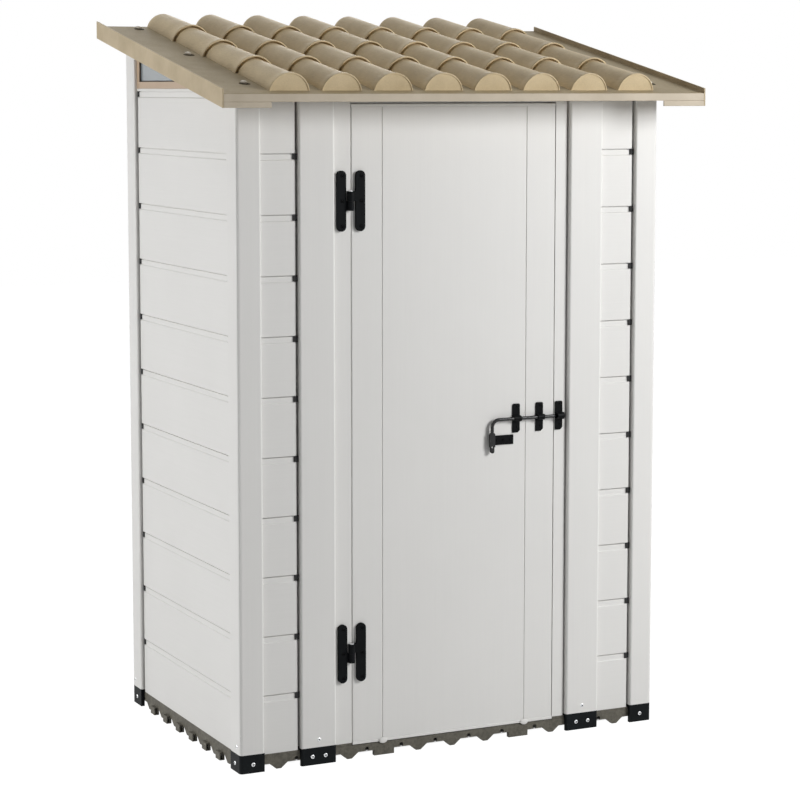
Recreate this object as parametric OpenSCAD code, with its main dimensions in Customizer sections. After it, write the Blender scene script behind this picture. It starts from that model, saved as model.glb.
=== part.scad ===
// Garden shed with a pent roof, hollow wall boards, one hinged door and a slide bolt.
// X runs to the right, Y to the back and Z up. The origin lies on the ground under the roof's middle.

/* [Body] */
// Width over the corner posts
body_w = 1200; // [1120:10:1300]
// Depth over the corner posts
body_d = 800; // [740:10:880]
// Courses of boards below the gable windows
course_n = 11; // [9:1:12]
// Height of one course of boards
course_h = 150.7; // [142:0.1:160]
// Clear width of the board bay on each side of the doorway
front_bay = 101; // [80:1:120]

/* [Wall boards] */
// Thickness of a hollow board
board_t = 26; // [22:1:30]
// How far the boards lie behind the face of the posts
board_set = 9.5; // [7:0.5:14]
// Wall of a hollow board
board_wall = 2; // [1.6:0.1:3]
// Cells in the height of a board
cell_n = 3; // [2:1:5]
// Height of the set-back band at the top of a board
band_h = 15; // [10:1:20]
// Depth of the set-back band
band_in = 2.5; // [1.5:0.1:3.5]
// Height of the tongue on the top of a board
tongue_h = 5; // [3:0.5:7]
// Thickness of the tongue on the top of a board
tongue_t = 8; // [6:0.5:10]
// Open slot at the far end of a board
slot_w = 6.5; // [4:0.5:8]
// How far a board's end reaches into a post
end_in = 7; // [5:0.5:9]
// Thickness of the webs that reach into a post
end_t = 14; // [10:1:15]

/* [Posts and feet] */
// Width and depth of a corner post
post_w = 66; // [58:1:76]
// Width of a door post
door_post_w = 97; // [85:1:110]
// Wall of the posts and jambs
post_wall = 2.5; // [2:0.1:4]
// Radius of a corner post's outer edge
post_r = 9; // [5:0.5:12]
// Radius of the posts' edges beside the boards and jambs
edge_r = 5.5; // [3:0.5:8]
// Height of a corner foot
foot_h = 47.5; // [42:0.5:56]
// Height of a door foot
door_foot_h = 45; // [40:0.5:54]
// Height of the hollow boss that a post stands over
boss_h = 32; // [26:1:40]
// Wall of the boss
boss_wall = 5; // [4:0.5:7]

/* [Floor] */
// Top of the floor above the ground
floor_top = 34; // [30:1:42]
// Underside of the tiles' skirts above the ground
skirt_z = 15; // [12:1:18]
// How far the floor lies inside the body's faces
floor_in = 10.5; // [9:0.5:14]
// Tiles across the floor
tile_cols = 3; // [2:1:4]
// Thickness of a tile's top
tile_t = 4; // [3:0.5:5]
// Thickness of a tile's skirts and ribs
rib_t = 3; // [2.4:0.1:4]
// Cells along each side of a tile
tile_cells = 4; // [3:1:5]
// Width of a tooth where it leaves the skirt
tooth_w = 51; // [40:1:60]
// Width of a tooth on the ground
tooth_foot = 13; // [9:1:20]
// Thickness of a tooth
tooth_t = 12; // [8:1:16]
// Length of an eyelet along the edge of the floor
eyelet_l = 30; // [22:1:36]
// Height of an eyelet
eyelet_h = 20; // [17:1:24]
// Wall round the passage in an eyelet
eyelet_wall = 2.5; // [2:0.1:3]
// Radius of the keyholes in the front and right skirts
keyhole_r = 5.5; // [4:0.5:7]
// Width of a tile's foot beside a seam
seam_foot_w = 28; // [20:1:36]
// Height of the strips between the floor and the boards
sill_t = 7; // [5:0.5:10]

/* [Doorway] */
// Width of the jamb on the hinge side
hinge_jamb_w = 48; // [42:1:56]
// Width of the jamb on the lock side
lock_jamb_w = 37; // [32:1:44]
// Open slot between the lock jamb and its post
jamb_slot = 4; // [2:0.5:6]
// Depth of the jambs and of the header
jamb_d = 40; // [36:1:50]
// How far the jambs and the leaf lie behind the face of the posts
door_set = 12; // [10:0.5:14]
// Width of the stop that the closed leaf meets
stop_w = 12; // [8:1:18]
// Air between the closed leaf and its stops
stop_air = 1.5; // [1:0.1:3]

/* [Door leaf] */
// Thickness of the leaf
leaf_t = 26; // [22:1:30]
// Air between the leaf and the hinge jamb
leaf_air = 2; // [1.8:0.1:4]
// Air between the leaf and the lock jamb
lock_air = 1.5; // [1.5:0.1:3]
// Air between the leaf and the floor
leaf_low_air = 2; // [1.5:0.5:5]
// Air between the leaf and the header
leaf_top_air = 3; // [2:0.5:6]
// Distance from the top of the leaf to the top of the wall boards
leaf_drop = 30; // [26:1:40]
// Width of each stile
stile_w = 85; // [75:1:95]
// Height of the rails that close the leaf at its top and bottom
rail_h = 8; // [6:0.5:14]
// Wall of the hollow leaf
leaf_wall = 2.5; // [2:0.1:4]
// Cells across the middle panel
leaf_cells = 6; // [4:1:9]
// Bevel along the joints of the leaf
bevel = 2; // [0.8:0.1:2.4]

/* [Hinges] */
// Height of a hinge plate
plate_h = 152; // [130:2:170]
// Width of the plate on the jamb
frame_plate_w = 25; // [22:0.5:26]
// Width of the plate on the leaf
door_plate_w = 25.5; // [22:0.5:34]
// Distance from the hinge axis to the plate on the jamb
frame_plate_out = 10.8; // [9.6:0.1:12]
// Distance from the hinge axis to the plate on the leaf
door_plate_out = 16; // [10:0.5:20]
// Thickness of the hinge plates
plate_t = 7; // [5:0.5:8]
// Radius of the knuckle
knuckle_r = 8.5; // [7:0.1:9]
// Height of the knuckle
knuckle_h = 48; // [40:1:60]
// Radius of the hinge pin
pin_r = 3; // [2.5:0.1:4]
// Distance from the ends of the leaf to the middle of each hinge
hinge_in = 241; // [200:1:280]
// Distance of the hinge axis from the edge of the leaf
axis_out = 6; // [5:0.5:7]
// Distance of the hinge axis in front of the leaf
axis_front = 9.5; // [9.3:0.1:11]

/* [Slide bolt] */
// Height of the bolt above the ground
bolt_z = 852; // [780:2:920]
// Radius of the round bolt
rod_r = 4.5; // [4:0.1:5]
// Distance of the bolt's axis in front of the leaf
rod_front = 10; // [9.5:0.1:11]
// Travel of the bolt
bolt_travel = 37; // [34:0.5:38]
// Length of the bolt from the middle of its handle to its tip
bolt_l = 184.5; // [180:0.5:192]
// Width of a guide plate
guide_w = 22; // [18:1:24]
// Height of a guide plate
guide_h = 76; // [70:1:82]
// Height of a guide plate's upper end above the bolt's axis
guide_up = 38; // [36:1:42]
// Thickness of the guide plates and of the keeper
guide_t = 2.5; // [2:0.1:3.5]
// Outer radius of a guide's loop
loop_r = 7.5; // [7:0.1:8.5]
// Distance of the outer guide's middle from the lock edge
guide_1 = 113; // [104:1:120]
// Distance of the inner guide's middle from the lock edge
guide_2 = 44; // [36:1:52]
// Radius of the hole in the keeper
keeper_r = 6; // [5.6:0.1:6.4]
// Bend radius of the handle, to the middle of the round bar
bend_r = 20; // [16:1:24]
// Length of the handle from the bolt's axis to its tip
handle_l = 87; // [78:1:96]
// Width of the flat end of the handle
paddle_w = 16; // [13:1:18]
// Thickness of the flat end of the handle
paddle_t = 5; // [4:0.5:6]
// Radius of the padlock hole in the handle
padlock_r = 2.8; // [2.4:0.1:3.4]
// Width of the hasp plate
hasp_w = 59; // [50:1:66]
// Height of the hasp plate
hasp_h = 25; // [20:1:30]
// Distance of the hasp plate's middle below the bolt's axis
hasp_drop = 55; // [50:1:60]
// Distance of the padlock hole's middle below the bolt's axis
padlock_drop = 71; // [66:1:76]

/* [Roof] */
// Slope of the roof in degrees
pitch = 11.05; // [9.5:0.05:12.5]
// Overhang at the front
front_over = 110; // [95:5:125]
// Overhang at each side
side_over = 77; // [65:1:88]
// Overhang at the back
back_over = 10; // [8:1:20]
// Height of the rails between the front boards and the roof
top_rail_h = 12.7; // [10:0.1:16]
// Height of the rail between the back boards and the roof
back_rail_h = 11.3; // [9:0.1:16]
// Height of the cap on the side walls
cap_h = 7; // [6:0.5:10]
// Thickness of the roof sheet, measured upright
pan_t = 4; // [3:0.5:6]
// Thickness of the boards round the roof's edge
edge_t = 4; // [3:0.5:6]
// Height of the side edge boards above the roof sheet
upstand = 13; // [9:1:17]
// Height of the front edge board
eaves_h = 19; // [16:1:22]
// Height of the side edge boards
barge_h = 46; // [40:1:50]
// Length of the deep ends of the front edge board
deep_end = 127; // [100:1:150]
// Width of the ledges under the roof sheet
ledge_w = 12; // [8:1:16]
// Thickness of the ledges under the roof sheet
ledge_t = 3; // [2:0.5:5]

/* [Roof tiles] */
// Columns of half-round tiles
col_n = 8; // [6:1:8]
// Distance from the body's sides to the middle of the outer columns
col_in = 112.4; // [104:0.2:122]
// Tiles in a column
tile_n = 4; // [3:1:5]
// Radius of a tile at its lower end
tile_r = 52; // [46:1:56]
// How much the radius shrinks towards the tile's upper end
tile_taper = 6; // [3:0.5:9]
// How far the middle of a tile's curve lies below the roof sheet
tile_sink = 10; // [6:0.5:14]
// Wall of a tile
tile_wall = 2.5; // [2:0.1:4]
// Width of the thick rim at a tile's lower end
rim_w = 14; // [10:1:20]
// How far the rim stands proud
rim_out = 2.5; // [1.5:0.1:4]
// Distance from the roof's front edge to the lowest tile
tile_front = 38; // [30:1:50]

/* [Gable windows] */
// Width of the window frame's members
sash_w = 18; // [15:0.5:20]
// Overlap of the pane in its frame
rebate = 6; // [4:0.5:8]
// Thickness of the pane
pane_t = 4; // [3:0.5:5]
// Thickness of the lip in front of the pane
sash_lip = 3; // [2:0.5:5]
// Thickness of the seal between lip and pane
seal_t = 2; // [1.5:0.1:3]
// How far the seal shows inside the frame
seal_show = 3; // [2:0.5:5]

/* [Screws] */
// Radius of the large screws' shanks
screw_r = 2.2; // [1.8:0.1:2.6]
// Radius of the large screws' heads
head_r = 4.8; // [4.2:0.1:5.6]
// Height of a screw head
head_h = 2; // [1.5:0.1:2.6]
// Radius of the small screws' shanks
small_r = 1.6; // [1.3:0.1:2]
// Radius of the small screws' heads
small_head_r = 3.4; // [3:0.1:3.8]
// Height of the foot screws above the ground
foot_screw_z = 22; // [20:0.5:25]
// Height of the post screws above the feet
post_screw_up = 19.5; // [16:0.5:24]
// Distance of a corner foot's screws from the corner
foot_screw_in = 35; // [30:1:44]
// Half the distance between a door foot's screws
door_foot_screw = 18; // [12:1:24]
// Radius of the caps on the roof screws
roof_cap_r = 9; // [7:0.5:11]
// Distance of the left roof screws from the body's left face
roof_screw_left = 31; // [26:1:32]
// Distance of the right roof screws from the body's right face
roof_screw_right = 15; // [14:1:24]

/* [Hidden] */
$fn = 48;
// Air between pieces that stand close but don't touch
fit = 0.3;
// Radial air of a turning or sliding fit
run = 0.06;
// Overlap that makes two shapes of one piece grow together
weld = 0.5;
// Extra length of cutting shapes
cut = 1;
// Air under the roof sheet's slope where pieces meet it
lie = 0.02;

half_w = body_w / 2;
front_y = (front_over - back_over) / 2 - body_d / 2;
back_y = front_y + body_d;
roof_front = front_y - front_over;
roof_back = back_y + back_over;
roof_half = half_w + side_over;
slope = tan(pitch);

board_z = floor_top + sill_t;
wall_top = board_z + course_n * course_h;
end_d = (board_t - end_t) / 2;
tongue_d = (board_t - tongue_t) / 2;
groove_h = tongue_h + fit;
cell_top = course_h - band_h - band_in;
cell_h = (cell_top - groove_h - board_wall) / cell_n;
channel_d = end_in + cut;

under_z = wall_top + top_rail_h - front_over * slope;
rim_top = under_z + pan_t + upstand;
eaves_z = under_z + pan_t - eaves_h;
function under(y) = under_z + (y - roof_front) * slope;
back_wall_y = back_y - board_set - board_t;
rail_low = under(back_wall_y) - back_rail_h;
// Lowest strip that the top board of the back wall is cut down to
strip_min = 12;
back_n = ceil((rail_low - board_z - strip_min) / course_h);
back_top = min(rail_low, board_z + back_n * course_h);
back_joints = floor((back_top - board_z + fit) / course_h);

side_len = body_d - 2 * post_w;
back_len = body_w - 2 * post_w;
door_post_x = -half_w + post_w + front_bay;
hinge_jamb_x = door_post_x + door_post_w;
leaf_x = hinge_jamb_x + hinge_jamb_w + leaf_air;
lock_jamb_x = -hinge_jamb_x - lock_jamb_w;
lock_x = lock_jamb_x - lock_air;
leaf_w = lock_x - leaf_x;
leaf_y = front_y + door_set;
leaf_z = floor_top + leaf_low_air;
leaf_top = wall_top - leaf_drop;
header_z = leaf_top + leaf_top_air;
stop_y = leaf_y + leaf_t + stop_air;
panel_w = leaf_w - 2 * stile_w;
stile_len = leaf_top - leaf_z - 2 * rail_h;

axis_x = leaf_x - axis_out;
axis_y = leaf_y - axis_front;
hinge_zs = [leaf_z + hinge_in, leaf_top - hinge_in];
frame_plate_x = axis_x - frame_plate_out - frame_plate_w;
door_plate_x = axis_x + door_plate_out;
plate_screw_z = (plate_h - door_plate_w) / 2;
plate_screws = [-plate_screw_z, 0, plate_screw_z];
hinge_screw_l = 18;
sink_h = head_h + fit;
plate_screw_off = 1.5;
frame_screw_x = frame_plate_x + frame_plate_w / 2 + plate_screw_off;
door_screw_x = door_plate_x + door_plate_w / 2 + plate_screw_off;
pin_head_r = knuckle_r * 0.7;
pin_head_h = 2;

rod_y = leaf_y - rod_front;
rod_tip = lock_x - leaf_air - cut;
handle_x = rod_tip + bolt_travel - bolt_l;
keeper_x = lock_jamb_x + leaf_air + guide_w / 2;
spigot_r = 2.5;
spigot_l = 6;
paddle_top = 40;
paddle_tip_w = 11;
guide_screw_up = 31;
guide_screw_down = 23;
guide_screw_l = 10;
guide_screw_off = guide_w / 8;
guide_corner = guide_w / 5;
hasp_x = handle_x;
hasp_z = bolt_z - hasp_drop;
hasp_screw = 19.5;

tile_w = (body_w - 2 * floor_in) / tile_cols;
tile_d = (body_d - 2 * floor_in) / 2;
cell_x = tile_w / tile_cells;
cell_y = tile_d / tile_cells;
foot_lap = floor_in - fit;
eyelet_out = floor_in - fit;

post_core = post_w - channel_d - 2 * post_wall;
post_cap = 4;
boss_w = post_core - 2 * fit;
door_core_w = door_post_w - channel_d - 2 * post_wall;
door_core_d = post_w - 2 * post_wall;
door_boss_w = door_core_w - 2 * fit;
door_boss_d = door_core_d - 2 * fit;
post_top = under(roof_back);
post_screw_in = 22;
post_screw_z = foot_h + post_screw_up;
door_post_screw_z = door_foot_h + post_screw_up;
screw_through = 4;
foot_screw_l = floor_in + rib_t + screw_through;
post_screw_l = post_wall + fit + boss_wall;

tile_len = (roof_back - roof_front - tile_front) / tile_n / cos(pitch);
tile_r_up = tile_r - tile_taper;
col_pitch = (body_w - 2 * col_in) / (col_n - 1);
drip_h = 20;
roof_screw_y = post_w / 3;
roof_screw_l = 15;
roof_cap_h = 5;
// Length and width of a screw's cross, in radii of its head
cross_l = 1.2;
cross_w = 0.2;

sash_y0 = front_y + post_w;
sash_y1 = back_y - post_w;
sash_z = wall_top + cap_h;

wall_c = [0.86, 0.86, 0.85];
floor_c = [0.46, 0.44, 0.39];
roof_c = [0.64, 0.58, 0.48];
black_c = [0.09, 0.09, 0.1];
zinc_c = [0.72, 0.73, 0.75];
pane_c = [0.7, 0.76, 0.8];

// Extrudes a side view, drawn as depth and height, from x over a length l.
module along_x(x, l) {
    translate([x, 0, 0]) rotate([90, 0, 90]) linear_extrude(l) children();
}

// Extrudes a front view, drawn as width and height, from y over a depth d.
module along_y(y, d) {
    translate([0, y + d, 0]) rotate([90, 0, 0]) linear_extrude(d) children();
}

// Swaps the X and Y directions.
module swap_xy() {
    mirror([1, -1, 0]) children();
}

// Puts a shape drawn from an outer corner inwards at one of the body's four corners.
module at_corner(right, back) {
    translate([right ? half_w : -half_w, back ? back_y : front_y, 0])
        mirror([right, 0, 0]) mirror([0, back, 0]) children();
}

// Puts a shape drawn from a door post's outer front edge inwards at the left or right post.
module at_door_post(right) {
    mirror([right, 0, 0]) translate([door_post_x, front_y, 0]) children();
}

// A rectangle with a radius for each corner: front left, front right, back right, back left.
module soft_rect(w, d, radii) {
    difference() {
        square([w, d]);
        for (i = [0:3]) if (radii[i] > 0) {
            r = radii[i];
            right = (i == 1 || i == 2) ? 1 : 0;
            back = i > 1 ? 1 : 0;
            translate([right * w, back * d]) mirror([right, 0]) mirror([0, back]) difference() {
                translate([-cut, -cut]) square(r + cut);
                translate([r, r]) circle(r);
            }
        }
    }
}

// The space above the roof sheet's underside, lowered by drop.
module above_roof(drop = lie) {
    along_x(-roof_half - cut, 2 * roof_half + 2 * cut)
        polygon([
            [roof_front - cut, under(roof_front - cut) - drop],
            [roof_back + cut, under(roof_back + cut) - drop],
            [roof_back + cut, under(roof_back) + course_h],
            [roof_front - cut, under(roof_back) + course_h]]);
}

// A hole from y = 0 inwards.
module drill(r, l) {
    translate([0, -cut, 0]) rotate([-90, 0, 0]) cylinder(r = r, h = l + cut);
}

// A cross-head screw whose head sits on y = 0 and whose shank points inwards.
module screw(head, shank, l) {
    difference() {
        union() {
            rotate([90, 0, 0]) cylinder(r = head, h = head_h);
            rotate([-90, 0, 0]) cylinder(r = shank, h = l);
        }
        for (turn = [0, 90]) rotate([0, turn, 0])
            translate([-head * cross_l / 2, -head_h - cut, -head * cross_w / 2])
                cube([head * cross_l, cut + head_h / 2, head * cross_w]);
    }
}

// Places of the screws through the feet into the floor.
module at_foot_screws() {
    for (right = [0, 1], back = [0, 1]) at_corner(right, back) {
        translate([foot_screw_in, 0, foot_screw_z]) children();
        swap_xy() translate([foot_screw_in, 0, foot_screw_z]) children();
    }
    for (right = [0, 1], side = [-1, 1]) at_door_post(right)
        translate([door_post_w / 2 + side * door_foot_screw, 0, foot_screw_z]) children();
}

// Places of the screws through the posts into the feet's bosses.
module at_post_screws() {
    for (right = [0, 1], back = [0, 1]) at_corner(right, back)
        swap_xy() translate([post_screw_in, 0, post_screw_z]) children();
    for (right = [0, 1]) at_door_post(right)
        translate([door_post_w / 2, 0, door_post_screw_z]) children();
}

// Places of the screws in the hinge plates on one side of the hinge axis.
module at_hinge_screws(x) {
    for (z = hinge_zs, dz = plate_screws) translate([x, leaf_y - plate_t + sink_h, z + dz]) children();
}

// Places of the screws in a guide or keeper plate with its middle at x.
module at_guide_screws(x) {
    for (dz = [guide_screw_up, -guide_screw_down])
        translate([x + guide_screw_off, leaf_y - guide_t, bolt_z + dz]) children();
}

module at_hasp_screws() {
    for (side = [-1, 1]) translate([hasp_x + side * hasp_screw, leaf_y - guide_t, hasp_z]) children();
}

// Places of the roof screws, square to the slope, with their heads on the sheet.
module at_roof_screws() {
    header_y = leaf_y + jamb_d / 2;
    for (x = [-half_w + roof_screw_left, half_w - roof_screw_right],
        y = [front_y + roof_screw_y, (front_y + back_y) / 2, back_y - roof_screw_y])
            translate([x, y, under(y) + pan_t]) rotate([pitch, 0, 0]) children();
    translate([0, header_y, under(header_y) + pan_t]) rotate([pitch, 0, 0]) children();
}

// A tooth that carries a tile, seen from the front and standing on the ground.
module tooth() {
    top = skirt_z + weld;
    polygon([[-tooth_foot / 2, 0], [tooth_foot / 2, 0], [tooth_w / 2, top], [-tooth_w / 2, top]]);
}

// An eyelet outside the floor's edge, which runs along X here, with its passage along the edge.
module eyelet() {
    translate([-eyelet_l / 2, -eyelet_out, 0]) difference() {
        cube([eyelet_l, eyelet_out + rib_t, eyelet_h]);
        translate([-cut, eyelet_wall, eyelet_wall])
            cube([eyelet_l + 2 * cut, eyelet_out - 2 * eyelet_wall, eyelet_h - 2 * eyelet_wall]);
    }
}

// A keyhole through a skirt that runs along X.
module keyhole() {
    translate([0, 0, skirt_z + keyhole_r]) drill(keyhole_r, rib_t + cut);
    translate([-keyhole_r / 2, -cut, skirt_z - cut]) cube([keyhole_r, rib_t + 2 * cut, keyhole_r + cut]);
}

// One floor tile; col counts from the left and row from the front.
module floor_tile(col, row) {
    x = -half_w + floor_in + col * tile_w;
    y = front_y + floor_in + row * tile_d;
    color(floor_c) difference() {
        translate([x, y, 0]) {
            difference() {
                translate([fit / 2, fit / 2, skirt_z])
                    cube([tile_w - fit, tile_d - fit, floor_top - skirt_z]);
                for (i = [0:tile_cells - 1], j = [0:tile_cells - 1])
                    translate([i * cell_x + rib_t, j * cell_y + rib_t, skirt_z - cut])
                        cube([cell_x - 2 * rib_t, cell_y - 2 * rib_t, floor_top - tile_t - skirt_z + cut]);
                if (row == 0) for (i = [0:tile_cells - 1]) translate([(i + 0.5) * cell_x, 0, 0]) keyhole();
                if (col == tile_cols - 1) for (j = [0:tile_cells - 1])
                    translate([tile_w, (j + 0.5) * cell_y, 0]) rotate([0, 0, 90]) keyhole();
            }
            for (i = [1:tile_cells - 1], side = [0, 1])
                along_y(side * (tile_d - tooth_t - fit) + fit / 2, tooth_t)
                    translate([i * cell_x, 0]) tooth();
            for (j = [0:tile_cells], side = [0, 1])
                along_x(side * (tile_w - tooth_t - fit) + fit / 2, tooth_t) intersection() {
                    translate([j * cell_y, 0]) tooth();
                    translate([fit / 2, 0]) square([tile_d - fit, floor_top]);
                }
            for (side = [0, 1]) if (side == 0 ? col > 0 : col < tile_cols - 1)
                translate([side * (tile_w - seam_foot_w - fit), row * (tile_d - tooth_t - fit), 0])
                    translate([fit / 2, fit / 2, 0]) cube([seam_foot_w, tooth_t, skirt_z + weld]);
            for (i = [1:tile_cells - 1], j = [1:tile_cells - 1])
                translate([i * cell_x - tooth_foot / 2, j * cell_y - tooth_foot / 2, 0])
                    cube([tooth_foot, tooth_foot, skirt_z + weld]);
            if (col == 0) for (j = [(row == 0 ? 1 : 0):tile_cells - (row == 1 ? 2 : 1)])
                translate([fit / 2, (j + 0.5) * cell_y, 0]) swap_xy() eyelet();
            if (row == 1) for (i = [(col == 0 ? 1 : 0):tile_cells - (col == tile_cols - 1 ? 2 : 1)])
                translate([(i + 0.5) * cell_x, tile_d - fit / 2, 0]) mirror([0, 1, 0]) eyelet();
        }
        at_foot_screws() drill(screw_r, foot_screw_l);
    }
}

// Flat strips that lift the boards and jambs off the floor.
module sill_strips() {
    color(floor_c) {
        for (right = [0, 1]) mirror([right, 0, 0]) {
            translate([-half_w + post_w + fit, front_y + floor_in, floor_top])
                cube([front_bay - 2 * fit, board_t, sill_t]);
            translate([-half_w + floor_in, front_y + post_w + fit, floor_top])
                cube([board_t, side_len - 2 * fit, sill_t]);
        }
        translate([-half_w + post_w + fit, back_y - floor_in - board_t, floor_top])
            cube([back_len - 2 * fit, board_t, sill_t]);
        translate([hinge_jamb_x + fit, leaf_y, floor_top]) cube([hinge_jamb_w - fit, jamb_d, sill_t]);
        translate([lock_jamb_x, leaf_y, floor_top]) cube([lock_jamb_w - fit, jamb_d, sill_t]);
    }
}

// The shoe under a corner post: a skirt outside the floor, a plate over it and a hollow boss.
module corner_foot(right, back) {
    color(black_c) difference() {
        at_corner(right, back) {
            difference() {
                linear_extrude(foot_h) soft_rect(post_w, post_w, [post_r, 0, 0, 0]);
                translate([foot_lap, foot_lap, -cut]) cube([post_w, post_w, floor_top + fit + cut]);
            }
            translate([post_wall + fit, post_wall + fit, foot_h - weld]) difference() {
                cube([boss_w, boss_w, boss_h + weld]);
                translate([boss_wall, boss_wall, weld])
                    cube([boss_w - 2 * boss_wall, boss_w - 2 * boss_wall, boss_h + cut]);
            }
        }
        at_foot_screws() drill(screw_r + run, foot_screw_l);
        at_post_screws() drill(screw_r, post_screw_l + cut);
    }
}

// The shoe under a door post.
module door_foot(right) {
    color(black_c) difference() {
        at_door_post(right) {
            difference() {
                linear_extrude(door_foot_h) soft_rect(door_post_w, post_w, [edge_r, edge_r, 0, 0]);
                translate([-cut, foot_lap, -cut])
                    cube([door_post_w + 2 * cut, post_w, floor_top + fit + cut]);
            }
            translate([channel_d + post_wall + fit, post_wall + fit, door_foot_h - weld]) difference() {
                cube([door_boss_w, door_boss_d, boss_h + weld]);
                translate([boss_wall, boss_wall, weld])
                    cube([door_boss_w - 2 * boss_wall, door_boss_d - 2 * boss_wall, boss_h + cut]);
            }
        }
        at_foot_screws() drill(screw_r + run, foot_screw_l);
        at_post_screws() drill(screw_r, post_screw_l + cut);
    }
}

// The opening in a post's side that takes the ends of the boards.
module channel() {
    translate([board_set + end_d - fit, 0]) square([end_t + 2 * fit, channel_d + cut]);
}

// A hollow corner post, closed at its top along the roof's slope.
module corner_post(right, back) {
    color(wall_c) difference() {
        at_corner(right, back) translate([0, 0, foot_h]) linear_extrude(post_top - foot_h) difference() {
            soft_rect(post_w, post_w, [post_r, edge_r, 0, edge_r]);
            translate([0, post_w - channel_d]) channel();
            mirror([1, -1]) translate([0, post_w - channel_d]) channel();
        }
        difference() {
            at_corner(right, back) translate([post_wall, post_wall, foot_h - cut])
                cube([post_core, post_core, post_top - foot_h]);
            above_roof(post_cap);
        }
        above_roof();
        at_post_screws() drill(screw_r + run, post_screw_l);
        at_roof_screws() rotate([-90, 0, 0]) drill(screw_r, roof_screw_l);
    }
}

// A hollow door post with a channel for the boards on its outer side.
module door_post(right) {
    color(wall_c) difference() {
        at_door_post(right) translate([0, 0, door_foot_h])
            linear_extrude(post_top - door_foot_h) difference() {
                soft_rect(door_post_w, post_w, [edge_r, edge_r, 0, 0]);
                mirror([1, -1]) translate([0, -cut]) channel();
            }
        difference() {
            at_door_post(right) translate([channel_d + post_wall, post_wall, door_foot_h - cut])
                cube([door_core_w, door_core_d, post_top - door_foot_h]);
            above_roof(post_cap);
        }
        above_roof();
        at_post_screws() drill(screw_r + run, post_screw_l);
    }
}

// A hollow jamb of width w from x, with a stop behind the leaf on its right or left side.
// The slot, where there is one, runs up the jamb's right front edge.
module jamb(x, w, stop_x, slot) {
    difference() {
        union() {
            translate([x, leaf_y, board_z]) cube([w, jamb_d, post_top - board_z]);
            translate([stop_x, stop_y, board_z])
                cube([stop_w + weld, leaf_y + jamb_d - stop_y, leaf_top - stop_w - fit - board_z]);
        }
        difference() {
            translate([x + post_wall, leaf_y + post_wall, board_z - cut])
                cube([w - slot - 2 * post_wall, jamb_d - 2 * post_wall, post_top]);
            above_roof(post_cap);
        }
        if (slot > 0) translate([x + w - slot, leaf_y - cut, board_z - cut])
            cube([slot + cut, jamb_d / 2 + cut, post_top]);
        above_roof();
    }
}

module hinge_jamb() {
    color(wall_c) difference() {
        jamb(hinge_jamb_x, hinge_jamb_w, hinge_jamb_x + hinge_jamb_w - weld, 0);
        at_hinge_screws(frame_screw_x) drill(screw_r, hinge_screw_l);
    }
}

module lock_jamb() {
    color(wall_c) difference() {
        jamb(lock_jamb_x, lock_jamb_w, lock_jamb_x - stop_w, jamb_slot);
        at_guide_screws(keeper_x) drill(small_r, guide_screw_l);
    }
}

// The hollow beam over the leaf, cut to the roof's slope, with a stop along its lower edge.
module door_header() {
    x = hinge_jamb_x + hinge_jamb_w;
    y1 = leaf_y + jamb_d;
    color(wall_c) difference() {
        along_x(x, lock_jamb_x - x) difference() {
            union() {
                polygon([
                    [leaf_y, header_z], [y1, header_z], [y1, under(y1) - lie],
                    [leaf_y, under(leaf_y) - lie]]);
                translate([stop_y, leaf_top - stop_w])
                    square([y1 - stop_y, header_z - leaf_top + stop_w + weld]);
            }
            polygon([
                [leaf_y + post_wall, header_z + post_wall], [y1 - post_wall, header_z + post_wall],
                [y1 - post_wall, under(y1 - post_wall) - post_cap],
                [leaf_y + post_wall, under(leaf_y + post_wall) - post_cap]]);
        }
        at_roof_screws() rotate([-90, 0, 0]) drill(screw_r, roof_screw_l);
    }
}

// The groove along the underside of a piece that stands on a board's tongue.
module groove() {
    translate([tongue_d - fit, -cut]) square([tongue_t + 2 * fit, groove_h + cut]);
}

// Rails between the front boards and the roof, and caps on the side walls.
module top_rails() {
    y0 = board_set;
    y1 = board_set + board_t;
    color(wall_c) {
        for (x = [-half_w + post_w, half_w - post_w - front_bay])
            along_x(x + fit, front_bay - 2 * fit) translate([front_y + board_set, wall_top]) difference() {
                polygon([
                    [0, 0], [board_t, 0], [board_t, under(front_y + y1) - wall_top - lie],
                    [0, under(front_y + y0) - wall_top - lie]]);
                groove();
            }
        for (right = [0, 1]) mirror([right, 0, 0])
            along_y(sash_y0 + fit, side_len - 2 * fit)
                translate([-half_w + board_set, wall_top]) difference() {
                    square([board_t, cap_h]);
                    groove();
                }
    }
}

// The rail between the back boards and the roof.
module back_rail() {
    y0 = back_wall_y;
    y1 = back_wall_y + board_t;
    color(wall_c) along_x(-half_w + post_w + fit, back_len - 2 * fit)
        polygon([[y0, back_top], [y1, back_top], [y1, under(y1) - lie], [y0, under(y0) - lie]]);
}

// A board seen from its end: face at depth 0, set-back band and tongue above, groove below.
module board_outline() {
    difference() {
        polygon([
            [0, 0], [board_t, 0], [board_t, course_h], [tongue_d + tongue_t, course_h],
            [tongue_d + tongue_t, course_h + tongue_h], [tongue_d, course_h + tongue_h], [tongue_d, course_h],
            [band_in, course_h], [band_in, course_h - band_h], [0, cell_top]]);
        groove();
    }
}

// Height of web number i of a board.
function web_z(i) = groove_h + board_wall + i * cell_h;

// A hollow board along X between two posts that stand len apart; its far end leaves a slot.
// Only the webs from number low upwards reach into the posts.
module board(len, low) {
    along_x(fit, len - slot_w - fit) difference() {
        board_outline();
        for (i = [0:cell_n - 1]) translate([board_wall, web_z(i)])
            square([board_t - 2 * board_wall, cell_h - board_wall]);
    }
    for (i = [low:cell_n]) translate([-end_in, end_d, web_z(i) - board_wall])
        cube([len + 2 * end_in, end_t, board_wall]);
}

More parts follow.
